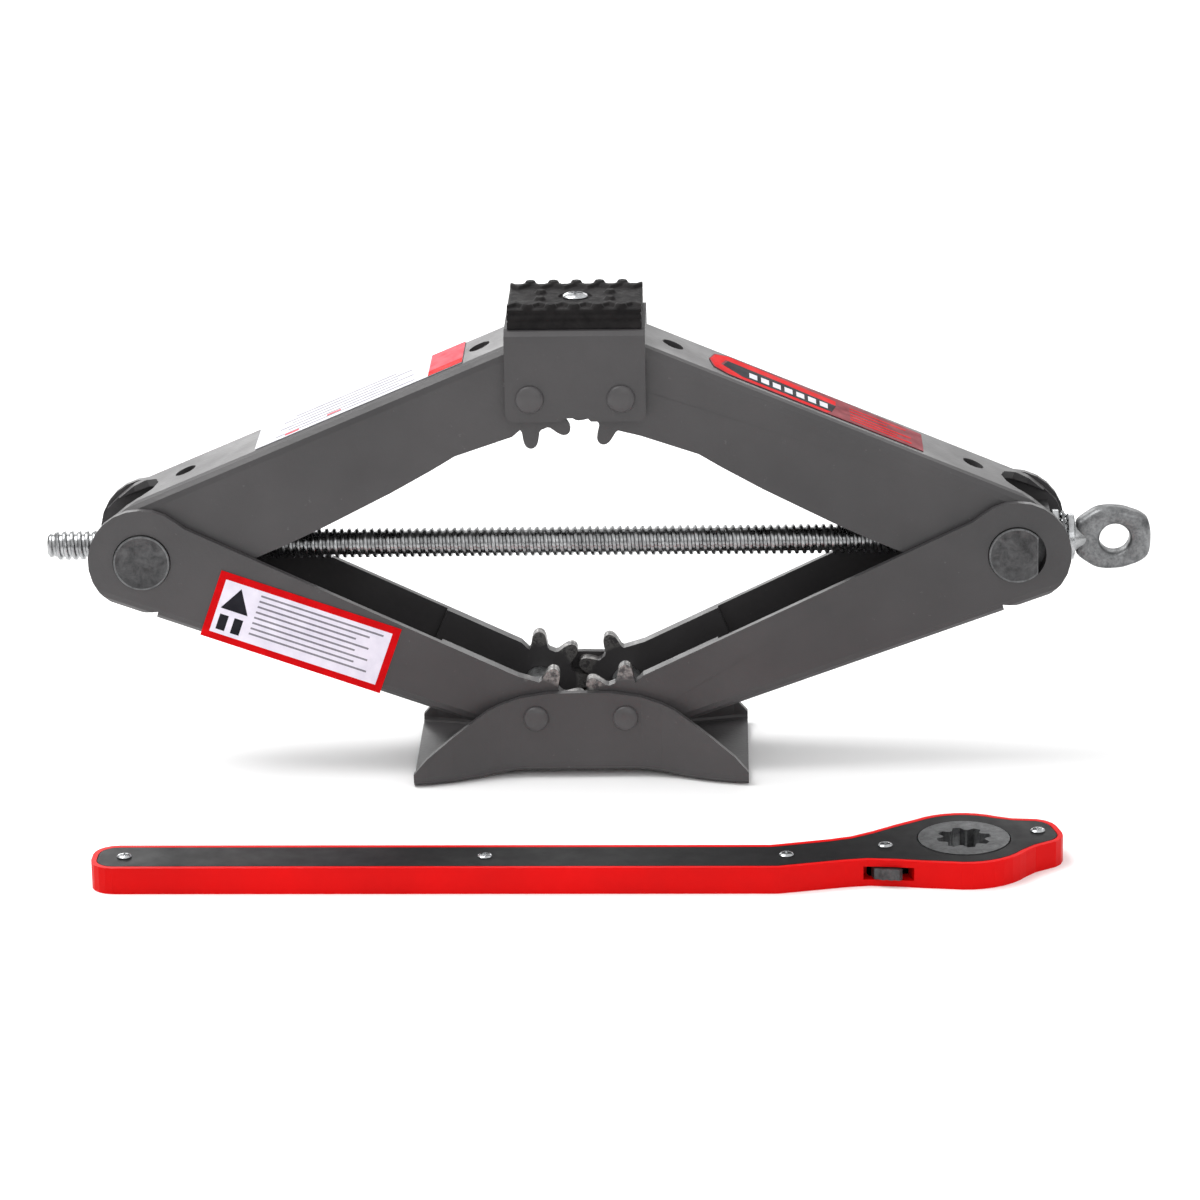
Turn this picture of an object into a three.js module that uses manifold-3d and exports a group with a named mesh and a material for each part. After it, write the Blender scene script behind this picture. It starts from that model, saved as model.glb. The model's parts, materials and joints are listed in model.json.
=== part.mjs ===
// Scissor car jack with its ratchet wrench, in millimetres, +Z up, the viewer stands at -Y.
// Origin: centre of the base plate's sole. The jack stands at the height of REST_ANGLE.
import * as THREE from 'three';
import Module from 'manifold-3d';
import { mergeVertices } from 'three/addons/utils/BufferGeometryUtils.js';

const wasm = await Module();
wasm.setup();

// ---- linkage ----
const REST_ANGLE = THREE.MathUtils.degToRad(22.9);
const ARM_LENGTH = 168;
const PITCH_RADIUS = 17.8;
const LOWER_PIVOT_Z = 25.4;
const TRUNNION_X = PITCH_RADIUS + ARM_LENGTH * Math.cos(REST_ANGLE);
const TRUNNION_Z = LOWER_PIVOT_Z + ARM_LENGTH * Math.sin(REST_ANGLE);
const UPPER_PIVOT_Z = LOWER_PIVOT_Z + 2 * ARM_LENGTH * Math.sin(REST_ANGLE);

// ---- sheet metal ----
const SHEET = 3;
const BEND = 4.5;
const BEND_STEPS = 3;
const GAP = 0.3;
const LOWER_HALF_WIDTH = 23.5;
const UPPER_HALF_WIDTH = 20;
const PIN_HOLE = 4.9;
const JOURNAL_HOLE = 11.5;
const WEB_HOLE_RADIUS = 4.4;
const WEB_HOLE_STATIONS = [12.8, 141];

// ---- gear sector at the inner end of each arm ----
const TOOTH_PITCH = 45;
const TOOTH_TIP = 21;
const TOOTH_ROOT = 14;
const TOOTH_PROFILE = [
  [TOOTH_ROOT, 4.2], [14.7, 3.52], [PITCH_RADIUS, 3], [19.3, 2.55], [20.2, 1.95], [20.8, 1.1],
  [TOOTH_TIP, 0.4],
];
const HEM_LENGTH = 46;
const HEM = 2.5;

// ---- pins, spacers ----
const PIN_RADIUS = 4.5;
const PIN_HEAD_RADIUS = 5.4;
const PIN_HEAD_HEIGHT = 2;
const SPACER_OUTER = 6.4;
const SPACER_INNER = 4.9;

// ---- trunnions ----
const JOURNAL_RADIUS = 11.2;
const JOURNAL_PROUD = 0.9;
const TRUNNION_HALF_BODY = 16.4;
const NUT_BODY_RADIUS = 13.2;
const BLOCK_FACE_X = 14.4;
const BLOCK_HALF_HEIGHT = 10;
const BLOCK_FLAT = 8.2;

// ---- screw ----
const SCREW_RADIUS = 5.9;
const SCREW_OVERHANG = 40;
const RACE_OUTER = 11;
const CAGE_OUTER = 10.3;
const TURNING_RACE_OUTER = 9.2;
const RACE_START = 14.8;
const RACE_THICK = 2.8;
const EYE_START = 24.2;
const EYE_END = 54;
const EYE_THICK = 9;
const EYE_HOLE = 6.1;
const EYE_HOLE_X = 39.8;

// ---- base ----
const BASE_HALF_LENGTH = 66.5;
const BASE_HALF_DEPTH = 27;
const BASE_END_HALF_DEPTH = 37.5;
const SOLE_ARCH = 2.4;
const BASE_STATIONS = [0, 13, 24, 32, 37, 42, 51, 61, BASE_HALF_LENGTH];
const BASE_TOPS = [36, 35.7, 33.9, 31.3, 29.2, 26, 19.8, 12, 5.6];
const BASE_FLARE_FROM = 24;
const ARCH_FLAT_TO = 22;
const ARCH_ENDS_AT = 48;

// ---- saddle and pad ----
const SADDLE_HALF_LENGTH = 27.5;
const SADDLE_RISE = 27.5;
const SADDLE_DROP = 9.2;
const SADDLE_CORNER = 3.5;
const PAD_LENGTH = 52.4;
const PAD_DEPTH = 40.6;
const PAD_HEIGHT = 9.3;
const PAD_CHAMFER = 1;

// ---- labels ----
const FRONT_LABEL_AT = [99.4, 2.9];

// ---- ratchet wrench ----
const WRENCH_BEND_SPOT = [75.5, -139.9];
const WRENCH_TURN = THREE.MathUtils.degToRad(-0.9);
const WRENCH_BEND = THREE.MathUtils.degToRad(14.6);
const WRENCH_LEFT = -257.6;
const WRENCH_HALF_WIDTH = 11.9;
const WRENCH_HEIGHT = 10.4;
const RIM = 2;
const PLATE_THICK = 1;
const PLATE_RECESS = 1.2;
const RING_AT = 73.8;
const HEAD_RADIUS = 26.6;
const NOSE_AT = 101.4;
const NOSE_RADIUS = 10;
const NOSE_SPREAD = 3.5;
const RING_FLANGE = 17.4;
const RING_CAVITY = 20;
const RATCHET_TEETH = 16;
const PAWL_PIVOT_AT = 43;
const WRENCH_SCREWS_STRAIGHT = [-245.4, -108.9];
const WRENCH_SCREWS_HEAD = [4.5, PAWL_PIVOT_AT, 103];

// ---- finishes ----
const finish = (color, roughness, metalness) =>
  new THREE.MeshStandardMaterial({ color, roughness, metalness });
const GREY_PAINT = finish(0x585a5c, 0.45, 0.2);
const ZINC = finish(0xa9abad, 0.35, 0.9);
const RUBBER = finish(0x1c1c1d, 0.85, 0);
const LABEL_WHITE = finish(0xe4e0ea, 0.5, 0);
const LABEL_RED = finish(0xc81f2c, 0.5, 0);
const RED_BODY = finish(0xd20a10, 0.4, 0);
const BLACK_PLATE = finish(0x222224, 0.4, 0.3);

// ================= solid helpers =================

// A closed solid from rings of points, with each end capped by its own flat outline.
function skin(rings, firstCap, lastCap) {
  const count = rings[0].length;
  const points = rings.flat();
  const faces = [];
  for (let r = 0; r < rings.length - 1; r += 1) {
    for (let i = 0; i < count; i += 1) {
      const j = (i + 1) % count;
      const a = r * count + i;
      const b = r * count + j;
      faces.push([a, b, b + count], [a, b + count, a + count]);
    }
  }
  const last = (rings.length - 1) * count;
  const toVectors = (outline) => outline.map(([a, b]) => new THREE.Vector2(a, b));
  const capTriangles = (outline) => {
    const flat = toVectors(outline);
    const reversed = THREE.ShapeUtils.isClockWise(flat);
    const found = THREE.ShapeUtils.triangulateShape(reversed ? flat.slice().reverse() : flat, []);
    const turn = (i) => (reversed ? count - 1 - i : i);
    return found.map((f) => (reversed ? f.map(turn).reverse() : f));
  };
  capTriangles(firstCap).forEach(([a, b, c]) => faces.push([c, b, a]));
  capTriangles(lastCap).forEach(([a, b, c]) => faces.push([a + last, b + last, c + last]));
  let volume = 0;
  faces.forEach(([a, b, c]) => {
    volume += points[a].dot(points[b].clone().cross(points[c]));
  });
  const index = volume < 0 ? faces.map(([a, b, c]) => [a, c, b]) : faces;
  const geometry = new THREE.BufferGeometry();
  geometry.setAttribute('position', new THREE.Float32BufferAttribute(
    points.flatMap((p) => [p.x, p.y, p.z]), 3));
  geometry.setIndex(index.flat());
  return geometry;
}

// A welded solid without slivers, ready to be joined or cut.
function solid(geometry) {
  const bare = geometry.clone();
  ['normal', 'uv'].forEach((name) => bare.deleteAttribute(name));
  const welded = mergeVertices(bare, 1e-5);
  const index = [];
  const source = welded.index.array;
  for (let i = 0; i < source.length; i += 3) {
    const [a, b, c] = [source[i], source[i + 1], source[i + 2]];
    if (a !== b && b !== c && c !== a) index.push(a, b, c);
  }
  return new wasm.Manifold(new wasm.Mesh({
    numProp: 3,
    vertProperties: new Float32Array(welded.attributes.position.array),
    triVerts: new Uint32Array(index),
  }));
}

function node(name, body, material) {
  const made = body.getMesh();
  const geometry = new THREE.BufferGeometry();
  geometry.setAttribute('position', new THREE.Float32BufferAttribute(made.vertProperties, 3));
  geometry.setIndex(Array.from(made.triVerts));
  geometry.computeVertexNormals();
  const mesh = new THREE.Mesh(geometry, material);
  mesh.name = name;
  return mesh;
}

const prism = (outline, stations) =>
  solid(skin(stations.map((put) => outline.map(([a, b]) => put(a, b))), outline, outline));
const flatShape = (outline) => new THREE.Shape(outline.map(([a, b]) => new THREE.Vector2(a, b)));
const extruded = (outline, depth) =>
  new THREE.ExtrudeGeometry(flatShape(outline), { depth, steps: 1, bevelEnabled: false });
const X_FROM_DEPTH = new THREE.Matrix4().makeBasis(
  new THREE.Vector3(0, 1, 0), new THREE.Vector3(0, 0, 1), new THREE.Vector3(1, 0, 0));
const prismZ = (outline, low, high) => solid(extruded(outline, high - low).translate(0, 0, low));
const prismY = (outline, low, high) =>
  solid(extruded(outline, high - low).rotateX(Math.PI / 2).translate(0, high, 0));
const prismX = (outline, low, high) =>
  solid(extruded(outline, high - low).applyMatrix4(X_FROM_DEPTH).translate(low, 0, 0));

function arc(cx, cy, radius, fromDegrees, toDegrees, steps) {
  const out = [];
  for (let i = 0; i <= steps; i += 1) {
    const a = THREE.MathUtils.degToRad(fromDegrees + (toDegrees - fromDegrees) * i / steps);
    out.push([cx + radius * Math.cos(a), cy + radius * Math.sin(a)]);
  }
  return out;
}

const circle = (cx, cy, radius, steps) => arc(cx, cy, radius, 0, 360 - 360 / steps, steps - 1);
const rectangle = (a0, b0, a1, b1) => [[a0, b0], [a1, b0], [a1, b1], [a0, b1]];
const stadium = (cx, cy, length, width) => {
  const half = (length - width) / 2;
  return [...arc(cx + half, cy, width / 2, -90, 90, 6), ...arc(cx - half, cy, width / 2, 90, 270, 6)];
};
const boxSolid = (x0, y0, z0, x1, y1, z1) => prismZ(rectangle(x0, y0, x1, y1), z0, z1);

// A turned solid from [radius, height] pairs, along Y, X or Z.
function turned(profile, axis, at, steps) {
  const geometry = new THREE.LatheGeometry(profile.map(([r, h]) => new THREE.Vector2(r, h)), steps);
  if (axis === 'x') geometry.rotateZ(-Math.PI / 2);
  if (axis === 'z') geometry.rotateX(Math.PI / 2);
  geometry.translate(at[0], at[1], at[2]);
  const made = solid(geometry);
  return made;
}

const add = (first, ...rest) => rest.reduce((sum, s) => sum.add(s), first);
const cut = (first, ...rest) => rest.reduce((sum, s) => sum.subtract(s), first);

// A channel section with two bends, open downwards; top and foot are heights.
function channel(halfWidth, top, foot) {
  const inner = BEND - SHEET;
  const w = halfWidth;
  return [
    [-w, foot],
    ...arc(-w + BEND, top - BEND, BEND, 180, 90, BEND_STEPS),
    ...arc(w - BEND, top - BEND, BEND, 90, 0, BEND_STEPS),
    [w, foot],
    [w - SHEET, foot],
    ...arc(w - SHEET - inner, top - SHEET - inner, inner, 0, 90, 2),
    ...arc(-w + SHEET + inner, top - SHEET - inner, inner, 90, 180, 2),
    [-w + SHEET, foot],
  ];
}

// ================= arms =================

// Arm frame: u runs from the geared pivot to the trunnion, v points to the web's side.
function armFrame(side, level) {
  const pivotZ = level > 0 ? UPPER_PIVOT_Z : LOWER_PIVOT_Z;
  const cos = Math.cos(REST_ANGLE);
  const sin = Math.sin(REST_ANGLE);
  return (u, v) => [
    side * (PITCH_RADIUS + u * cos + v * sin),
    pivotZ + level * (v * cos - u * sin),
  ];
}

// Angles of teeth turn from the arm's end (0) round to its open side (90).
function toothOutline(centre) {
  const spread = (half, radius) => THREE.MathUtils.radToDeg(half / radius);
  const corner = (radius, angle) => {
    const a = THREE.MathUtils.degToRad(angle);
    return [-radius * Math.cos(a), -radius * Math.sin(a)];
  };
  const rising = TOOTH_PROFILE.map(([r, half]) => corner(r, centre - spread(half, r)));
  const back = TOOTH_PROFILE.slice().reverse();
  const falling = back.map(([r, half]) => corner(r, centre + spread(half, r)));
  return [...rising, ...falling];
}

function teethAngles(onMeshLine, level) {
  const rest = THREE.MathUtils.radToDeg(REST_ANGLE);
  const first = onMeshLine ? rest - TOOTH_PITCH : rest - TOOTH_PITCH / 2;
  const all = [0, 1, 2, 3].map((k) => first + k * TOOTH_PITCH);
  const lastNeeded = onMeshLine ? 115 : 95;
  const firstAllowed = level > 0 ? -30 : -5;
  return all.filter((a) => a > firstAllowed && a < lastNeeded);
}

const LOWER_WEB = (u) => 12 + 0.0535 * u;
const LOWER_EDGE = (u) => -(11.8 + 0.0473 * u);
const UPPER_WEB = () => 22;
const LOWER_WEB_END = 154.2;

function lowerOutline(onMeshLine) {
  return [
    [-1, LOWER_WEB(0) + 1],
    ...arc(0, 0, TOOTH_ROOT - 0.2, 118, 150, 3),
    ...teethAngles(onMeshLine, -1).flatMap(toothOutline),
    [13, LOWER_EDGE(13)],
    [157, LOWER_EDGE(157)],
    ...arc(ARM_LENGTH, 0, 21.4, -108, 128, 17),
    [LOWER_WEB_END, LOWER_WEB(LOWER_WEB_END) + 1],
  ];
}

function upperOutline(onMeshLine) {
  return [
    [0, UPPER_WEB() + 1],
    [-0.5, 20.5],
    [-8, 13.5],
    ...arc(0, 0, TOOTH_ROOT, 128, 146, 2),
    ...teethAngles(onMeshLine, 1).flatMap(toothOutline),
    [13, -12],
    [37, -10.3],
    [47, -11.8],
    [66, -14],
    [97, -16.3],
    [113, -17],
    [155, -17.2],
    ...arc(ARM_LENGTH, 0, 20.5, -122, 52, 12),
    [174, 18.9],
    [166, 21.3],
    [160, 22.1],
    [155, UPPER_WEB() + 1],
  ];
}

function makeArm(side, level) {
  const frontOnMeshLine = side * level < 0;
  const frame = armFrame(side, level);
  const halfWidth = level > 0 ? UPPER_HALF_WIDTH : LOWER_HALF_WIDTH;
  const web = level > 0 ? UPPER_WEB : LOWER_WEB;
  const outlineOf = level > 0 ? upperOutline : lowerOutline;
  const sectionAt = (u) => channel(halfWidth, web(u), -40);
  const along = (u) => {
    const section = sectionAt(u);
    return section.map(([y, v]) => {
      const [x, z] = frame(u, v);
      return new THREE.Vector3(x, y, z);
    });
  };
  const ends = [-40, 210];
  let arm = solid(skin(ends.map(along), sectionAt(ends[0]), sectionAt(ends[1])));
  if (level < 0) {
    const hemOutline = rectangle(-30, -30, HEM_LENGTH, 30).map(([u, v]) => frame(u, v));
    const inner = halfWidth - SHEET;
    const webHeight = (u) => web(u) - SHEET - 0.1;
    const below = [[-30, -30], [HEM_LENGTH, -30], [HEM_LENGTH, webHeight(HEM_LENGTH)],
      [-30, webHeight(-30)]].map(([u, v]) => frame(u, v));
    arm = add(arm,
      prismY(hemOutline, inner - HEM, inner + 0.5).intersect(prismY(below, -50, 50)),
      prismY(hemOutline, -inner - 0.5, -inner + HEM).intersect(prismY(below, -50, 50)));
  }
  // The two flanges carry their teeth half a pitch apart, so left and right arms can be alike.
  const flange = (onMeshLine, low, high) =>
    prismY(outlineOf(onMeshLine).map(([u, v]) => frame(u, v)), low, high);
  arm = arm.intersect(add(flange(frontOnMeshLine, -60, 0), flange(!frontOnMeshLine, 0, 60)));
  const [pivotX, pivotZ] = frame(0, 0);
  const [farX, farZ] = frame(ARM_LENGTH, 0);
  arm = cut(arm,
    prismY(circle(pivotX, pivotZ, PIN_HOLE, 16), -60, 60),
    prismY(circle(farX, farZ, JOURNAL_HOLE, 28), -60, 60));
  const throughWeb = (shape, low, high) => prism(shape, [low, high].map((v) => (u, y) => {
    const [x, z] = frame(u, v);
    return new THREE.Vector3(x, y, z);
  }));
  if (level < 0) {
    const inner = halfWidth - SHEET;
    const open = rectangle(LOWER_WEB_END, -50, 220, 50).map(([u, v]) => frame(u, v));
    arm = cut(arm, prismY(open, -inner, inner));
  } else {
    const notch = stadium(153 + 40, 0, 80, 26.6);
    const holes = WEB_HOLE_STATIONS.map((u) => throughWeb(circle(u, 0, WEB_HOLE_RADIUS, 20), 12, 30));
    arm = cut(arm, throughWeb(notch, 17, 30), ...holes);
  }
  const place = `${level > 0 ? 'upper' : 'lower'}_arm_${side < 0 ? 'left' : 'right'}`;
  return node(place, arm, GREY_PAINT);
}

// ================= pins and spacers =================

function makePin(name, x, z, halfGrip) {
  const neck = halfGrip + 0.15;
  const top = neck + PIN_HEAD_HEIGHT;
  const profile = [
    [0, -top], [4.4, -top + 0.6], [PIN_HEAD_RADIUS, -neck - 0.4],
    [PIN_HEAD_RADIUS, -neck], [PIN_RADIUS, -neck], [PIN_RADIUS, neck],
    [PIN_HEAD_RADIUS, neck], [PIN_HEAD_RADIUS, neck + 0.4], [4.4, top - 0.6], [0, top],
  ];
  return node(name, turned(profile, 'y', [x, 0, z], 16), GREY_PAINT);
}

function makeSpacer(name, x, z, halfLength) {
  const outer = prismY(circle(x, z, SPACER_OUTER, 16), -halfLength, halfLength);
  const bore = prismY(circle(x, z, SPACER_INNER, 16), -halfLength - 1, halfLength + 1);
  return node(name, cut(outer, bore), ZINC);
}

// ================= base, saddle, pad =================

const smooth = (t) => {
  const c = Math.min(Math.max(t, 0), 1);
  return c * c * (3 - 2 * c);
};

function makeBase() {
  const stations = [
    ...BASE_STATIONS.slice(1).map((x, i) => [-x, BASE_TOPS[i + 1]]).reverse(),
    ...BASE_STATIONS.map((x, i) => [x, BASE_TOPS[i]]),
  ];
  const sectionAt = ([x, top]) => {
    const run = (Math.abs(x) - BASE_FLARE_FROM) / (BASE_HALF_LENGTH - BASE_FLARE_FROM);
    const half = BASE_HALF_DEPTH + (BASE_END_HALF_DEPTH - BASE_HALF_DEPTH) * smooth(run);
    const fall = smooth((Math.abs(x) - ARCH_FLAT_TO) / (ARCH_ENDS_AT - ARCH_FLAT_TO));
    const sole = SOLE_ARCH * (1 - fall);
    return channel(half, -sole, -top).map(([y, z]) => [y, -z]);
  };
  const sections = stations.map(sectionAt);
  const rings = sections.map((section, i) =>
    section.map(([y, z]) => new THREE.Vector3(stations[i][0], y, z)));
  let base = solid(skin(rings, sections[0], sections[sections.length - 1]));
  [-1, 1].forEach((side) => {
    base = cut(base, prismY(circle(side * PITCH_RADIUS, LOWER_PIVOT_Z, PIN_HOLE, 16), -60, 60));
  });
  return node('base_plate', base, GREY_PAINT);
}

function makeSaddle() {
  const top = UPPER_PIVOT_Z + SADDLE_RISE;
  const foot = UPPER_PIVOT_Z - SADDLE_DROP;
  const w = SADDLE_HALF_LENGTH;
  const c = SADDLE_CORNER;
  const outline = [
    ...arc(-w + c, foot + c, c, 180, 270, 4),
    [-6, foot], [-4.6, foot + 1.4], [4.6, foot + 1.4], [6, foot],
    ...arc(w - c, foot + c, c, 270, 360, 4),
    [w, top + 1], [-w, top + 1],
  ];
  const section = channel(LOWER_HALF_WIDTH, top, foot - 5);
  let saddle = prismX(section, -w - 2, w + 2).intersect(prismY(outline, -60, 60));
  [-1, 1].forEach((side) => {
    saddle = cut(saddle, prismY(circle(side * PITCH_RADIUS, UPPER_PIVOT_Z, PIN_HOLE, 16), -60, 60));
  });
  saddle = cut(saddle, prismZ(circle(0, 0, 3.4, 20), top - 10, top + 10));
  return node('saddle_bracket', saddle, GREY_PAINT);
}

function makePad() {
  const low = UPPER_PIVOT_Z + SADDLE_RISE + 0.1;
  const high = low + PAD_HEIGHT;
  const [l, d, c] = [PAD_LENGTH / 2, PAD_DEPTH / 2, PAD_CHAMFER];
  const side = [[-l, low], [l, low], [l, high - c], [l - c, high], [-l + c, high], [-l, high - c]];
  const across = [[-d, low], [d, low], [d, high - c], [d - c, high], [-d + c, high], [-d, high - c]];
  let pad = prismY(side, -d, d).intersect(prismX(across, -l, l));
  pad = cut(pad,
    prismZ(circle(0, 0, 3.4, 20), low - 1, high + 1),
    prismZ(circle(0, 0, 6.2, 24), high - 2.4, high + 1));
  return node('saddle_pad', pad, RUBBER);
}

function makePadFixings() {
  const saddleTop = UPPER_PIVOT_Z + SADDLE_RISE;
  const padTop = saddleTop + 0.1 + PAD_HEIGHT;
  const seat = padTop - 2.3;
  const nutTop = saddleTop - SHEET - 0.15;
  const screwProfile = [
    [0, nutTop - 6], [2.9, nutTop - 6], [2.9, seat + 0.1], [4.9, seat + 0.1],
    [4.9, seat + 1.1], [4, seat + 2.1], [2.4, seat + 2.6], [0, seat + 2.6],
  ];
  const slot = (a, b) => boxSolid(-a, -b, seat + 1.2, a, b, seat + 4);
  const screw = cut(turned(screwProfile, 'z', [0, 0, 0], 20), slot(2.6, 0.5), slot(0.5, 2.6));
  const nut = cut(prismZ(circle(0, 0, 5.6, 6), nutTop - 4, nutTop),
    prismZ(circle(0, 0, 3.2, 20), nutTop - 8, nutTop + 1));
  return [node('pad_screw', screw, ZINC), node('pad_nut', nut, ZINC)];
}

// ================= trunnions and screw =================

function screwBore(x) {
  return prismX(circle(0, TRUNNION_Z, SCREW_RADIUS + 0.4, 20), x - 40, x + 40);
}

function makeTrunnionNut() {
  const reach = LOWER_HALF_WIDTH + JOURNAL_PROUD;
  const b = TRUNNION_HALF_BODY;
  const profile = [
    [0, -reach], [JOURNAL_RADIUS - 1, -reach], [JOURNAL_RADIUS, -reach + 0.8],
    [JOURNAL_RADIUS, -b], [NUT_BODY_RADIUS, -b + 0.8], [NUT_BODY_RADIUS, b - 0.8],
    [JOURNAL_RADIUS, b], [JOURNAL_RADIUS, reach - 0.8], [JOURNAL_RADIUS - 1, reach], [0, reach],
  ];
  const body = turned(profile, 'y', [-TRUNNION_X, 0, TRUNNION_Z], 28);
  return node('trunnion_nut', cut(body, screwBore(-TRUNNION_X)), ZINC);
}

function makeTrunnionBlock() {
  const reach = LOWER_HALF_WIDTH + JOURNAL_PROUD;
  const [x, z] = [TRUNNION_X, TRUNNION_Z];
  const flat = rectangle(x - 20, z - 20, x + BLOCK_FLAT, z + 20);
  const journal = prismY(circle(x, z, JOURNAL_RADIUS, 28), -reach, reach)
    .intersect(prismY(flat, -60, 60));
  const h = BLOCK_HALF_HEIGHT;
  const bodyOutline = [
    [x - 8, z - h], [x + BLOCK_FACE_X, z - h], [x + BLOCK_FACE_X, z + h],
    [x - 8, z + h], [x - 11.5, z + 6], [x - 11.5, z - 6],
  ];
  const body = prismY(bodyOutline, -TRUNNION_HALF_BODY, TRUNNION_HALF_BODY);
  return node('trunnion_block', cut(add(journal, body), screwBore(x)), ZINC);
}

function ringX(name, x0, x1, outer, inner) {
  const face = prismX(circle(0, TRUNNION_Z, outer, 24), x0, x1);
  return node(name, cut(face, prismX(circle(0, TRUNNION_Z, inner, 20), x0 - 1, x1 + 1)), ZINC);
}

function makeThrustBearing() {
  const start = TRUNNION_X + RACE_START;
  const second = start + RACE_THICK + GAP;
  const third = second + RACE_THICK + GAP;
  const bore = SCREW_RADIUS + 0.4;
  return [
    ringX('thrust_race_fixed', start, start + RACE_THICK, RACE_OUTER, bore),
    ringX('thrust_ball_cage', second, second + RACE_THICK, CAGE_OUTER, bore + 0.8),
    ringX('thrust_race_turning', third, third + RACE_THICK, TURNING_RACE_OUTER, bore),
  ];
}

function makeScrew() {
  const x = TRUNNION_X;
  const z = TRUNNION_Z;
  const left = -TRUNNION_X - SCREW_OVERHANG;
  const profile = [
    [0, left], [SCREW_RADIUS - 1.4, left], [SCREW_RADIUS, left + 1.4],
    [SCREW_RADIUS, x + EYE_START + 6], [0, x + EYE_START + 6],
  ];
  const rod = turned(profile, 'x', [0, 0, z], 20);
  const outline = [
    [x + EYE_START, z - 6.6], [x + 28.5, z - 9.6], [x + 32.5, z - 12.2], [x + 37, z - 12.7],
    [x + 43, z - 12.3], [x + 49.5, z - 10], [x + 53.2, z - 7.4], [x + EYE_END, z - 3],
    [x + EYE_END, z + 3], [x + 53.2, z + 7.4], [x + 49.5, z + 10], [x + 43, z + 12.3],
    [x + 37, z + 12.7], [x + 32.5, z + 12.2], [x + 28.5, z + 9.6], [x + EYE_START, z + 6.6],
  ];
  const eye = prismY(outline, -EYE_THICK / 2, EYE_THICK / 2);
  const across = [[EYE_START, -4.5], [EYE_END, -4.5], [EYE_END, 4.5], [EYE_START, 4.5]];
  const shaped = eye.intersect(prismZ(across.map(([a, b]) => [x + a, b]), z - 20, z + 20));
  const hole = prismY(circle(x + EYE_HOLE_X, z, EYE_HOLE, 20), -20, 20);
  return node('lead_screw', cut(add(rod, shaped), hole), ZINC);
}

// ================= labels =================

function makeLabels() {
  const labels = [];
  const lowerLeft = armFrame(-1, -1);
  const tilt = THREE.MathUtils.degToRad(3.2);
  const at = (a, b) => lowerLeft(
    FRONT_LABEL_AT[0] + a * Math.cos(tilt) - b * Math.sin(tilt),
    FRONT_LABEL_AT[1] + a * Math.sin(tilt) + b * Math.cos(tilt));
  const front = -LOWER_HALF_WIDTH;
  const plain = prismY(rectangle(-37.5, -14.2, 37.5, 14.2).map(([a, b]) => at(a, b)),
    front - 0.5, front - 0.1);
  labels.push(node('front_label', plain, LABEL_WHITE));
  const onWeb = (name, side, from, to, near, far, material) => {
    const frame = armFrame(side, 1);
    const lift = [UPPER_WEB() + 0.1, UPPER_WEB() + 0.4];
    const shape = rectangle(from, near, to, far);
    const plate = prism(shape, lift.map((v) => (u, y) => {
      const [x, z] = frame(u, v);
      return new THREE.Vector3(x, y, z);
    }));
    labels.push(node(name, plate, material));
  };
  onWeb('left_top_label', -1, 19.4, 109, -14.5, 16, LABEL_WHITE);
  onWeb('right_top_label', 1, 28, 119, -12.5, 13.5, LABEL_RED);
  return labels;
}

// ================= ratchet wrench =================

// Turns a flat point, then puts it beside the bend of the wrench.
function fromBend(angle, a, b) {
  const cos = Math.cos(angle);
  const sin = Math.sin(angle);
  return [WRENCH_BEND_SPOT[0] + a * cos - b * sin, WRENCH_BEND_SPOT[1] + a * sin + b * cos];
}

// Along the handle a is negative; along the head it runs from the bend to the nose.
// b points away from the viewer in both.
const handlePoint = (a, b) => fromBend(WRENCH_TURN, a, b);
const headPoint = (a, b) => fromBend(WRENCH_TURN + WRENCH_BEND, a, b);

function wrenchOutline(inset) {
  const w = WRENCH_HALF_WIDTH - inset;
  const left = WRENCH_LEFT + inset;
  const corner = 9 - inset;
  const headSide = [
    [24, w], [33, w + 0.8], [42.5, w + 4], [52, w + 8.1],
    ...arc(RING_AT, 0, HEAD_RADIUS - inset, 117, 45, 8),
    [97.4, 15.4 - inset],
    ...arc(NOSE_AT, NOSE_SPREAD, NOSE_RADIUS - inset, 80, 0, 4),
  ];
  const near = headSide.map(([a, b]) => headPoint(a, -b));
  const far = headSide.slice().reverse().map(([a, b]) => headPoint(a, b));
  const end = [
    ...arc(left + corner, w - corner, corner, 90, 180, 5),
    ...arc(left + corner, -w + corner, corner, 180, 270, 5),
  ];
  const middle = (b) => fromBend(WRENCH_TURN + WRENCH_BEND / 2, 0, b);
  return [...end.map(([a, b]) => handlePoint(a, b)), middle(-w), ...near, ...far, middle(w)];
}

const screwSpots = () => [
  ...WRENCH_SCREWS_STRAIGHT.map((a) => handlePoint(a, 0)),
  ...WRENCH_SCREWS_HEAD.map((a) => headPoint(a, 0)),
];

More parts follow.
